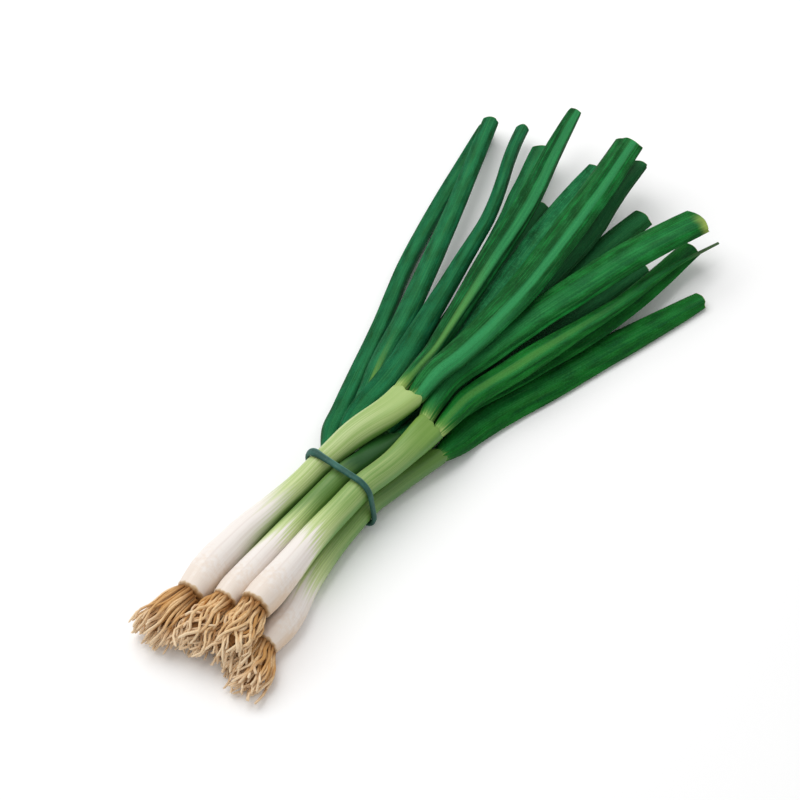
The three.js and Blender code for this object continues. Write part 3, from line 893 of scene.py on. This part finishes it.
def bandPath():
    # the tight outline of the stems' sections, as points and outward directions
    circles = []
    for name in stemLooks:
        tube = tubes[name]
        distances = np.linspace(0, tube["length"], band["search"])
        middles = [alongTube(tube, d)[0] for d in distances]
        off = [abs(m[0] - bandMiddle.x - band["skew"] * (m[1] - bandMiddle.y)) for m in middles]
        middle, across, upward = alongTube(tube, distances[int(np.argmin(off))])
        circles.append((middle[1], middle[2], (np.linalg.norm(across) + np.linalg.norm(upward)) / 2))
    points, outs = [], []
    for angle in np.linspace(0, fullTurn, band["outline"], endpoint=False):
        out = np.array((math.cos(angle), math.sin(angle)))
        y, z, radius = max(circles, key=lambda c: c[0] * out[0] + c[1] * out[1] + c[2])
        points.append(np.array((y, z)) + out * (radius + band["gap"] + band["halfThick"]))
        outs.append(out)
    points, outs = np.array(points + points[:1]), np.array(outs + outs[:1])
    lengths = np.concatenate([[0], np.cumsum(np.linalg.norm(np.diff(points, axis=0), axis=1))])
    even = np.linspace(0, lengths[-1], band["steps"] + 1)
    point = np.array([np.interp(even, lengths, points[:, c]) for c in (0, 1)]).T
    out = np.array([np.interp(even, lengths, outs[:, c]) for c in (0, 1)]).T
    return point, out / np.linalg.norm(out, axis=1)[:, None], even


def addBand():
    point, out, even = bandPath()
    angles = np.linspace(0, fullTurn, band["around"] + 1)
    power = 2 / band["square"]
    wide = np.sign(np.cos(angles)) * np.abs(np.cos(angles)) ** power * band["halfWide"]
    thick = np.sign(np.sin(angles)) * np.abs(np.sin(angles)) ** power * band["halfThick"]
    places, skin = [], []
    for (y, z), normal, distance in zip(point, out, even):
        share = distance / even[-1]
        knot = 1 + band["knot"] * math.exp(-(((share - band["knotAt"]) / band["knotWide"]) ** 2))
        roll = band["twist"] * math.sin(share * fullTurn + band["twistFrom"])
        sideways = knot * (wide * math.cos(roll) - thick * math.sin(roll))
        outwards = knot * (wide * math.sin(roll) + thick * math.cos(roll))
        ring = np.empty((len(angles), 3))
        ring[:, 1] = y + outwards * normal[0]
        ring[:, 2] = z + outwards * normal[1]
        ring[:, 0] = bandMiddle.x + band["skew"] * (ring[:, 1] - bandMiddle.y) + sideways
        places.append(ring)
        skin.append(skinPoints(angles, distance))
    piece = rolledGrid("band_loop", np.array(places), np.array(skin))
    sew(piece)
    finishPiece(piece, band["node"], bandFinish())


def bandFinish():
    f = Finish("bandRubber")
    place = f.node("ShaderNodeTexCoord", None, None, 3)
    dust = f.noise(place, 700, 4)
    wear = f.noise(place, 120, 3)
    base = f.mix(f.smooth(wear, 0.4, 0.7), bandColours["dark"], bandColours["worn"])
    base = f.mix(f.smooth(dust, 0.55, 0.75) * 0.3, base, bandColours["dust"])
    base = f.mix(f.facing(0.5, 0.9) * 0.55, base, bandColours["lit"])
    f.set(Base_Color=base, Roughness=0.5 + dust * 0.25, Specular_IOR_Level=0.4)
    f.bump(dust, 0.12 * mm, 0.5)
    return f.material


addBand()
print("band made")


# Floor and soft light

studio = {
    "floor": colour(253, 253, 253),
    "floorSize": 12,
    "floorDrop": 0.05 * mm,   # it lies just under the bunch
    "world": 0.57,
    "keyPlace": (0.0, 0.65, 1.2),
    "keySize": 1.4,
    "keyPower": 14.5,
    "fillPlace": (-0.9, -0.9, 0.9),
    "fillPower": 0.8,
}


def addFloor():
    bpy.ops.mesh.primitive_plane_add(size=1)
    made = bpy.context.object
    made.name = "floor"
    made.data.transform(made.matrix_world)
    for v in made.data.vertices:
        v.co *= studio["floorSize"]
        v.co.z = -studio["floorDrop"]
    f = Finish("paleFloor")
    f.set(Base_Color=studio["floor"], Roughness=0.9, Specular_IOR_Level=0.1)
    made.data.materials.append(f.material)
    bpy.ops.object.select_all(action="DESELECT")


def addLight(place, power, size):
    bpy.ops.object.light_add(type="AREA", location=place)
    made = bpy.context.object
    made.data.energy = power
    made.data.size = size
    made.rotation_mode = "QUATERNION"
    made.rotation_quaternion = (-Vector(place)).to_track_quat("-Z", "Y")
    bpy.ops.object.select_all(action="DESELECT")


addFloor()
addLight(studio["keyPlace"], studio["keyPower"], studio["keySize"])
addLight(studio["fillPlace"], studio["fillPower"], studio["keySize"])
world = bpy.context.scene.world or bpy.data.worlds.new("studio")
bpy.context.scene.world = world
world.use_nodes = True
world.node_tree.nodes["Background"].inputs["Color"].default_value = (1, 1, 1, 1)
world.node_tree.nodes["Background"].inputs["Strength"].default_value = studio["world"]
bpy.context.scene.view_settings.view_transform = "Standard"
print("floor and light in place")
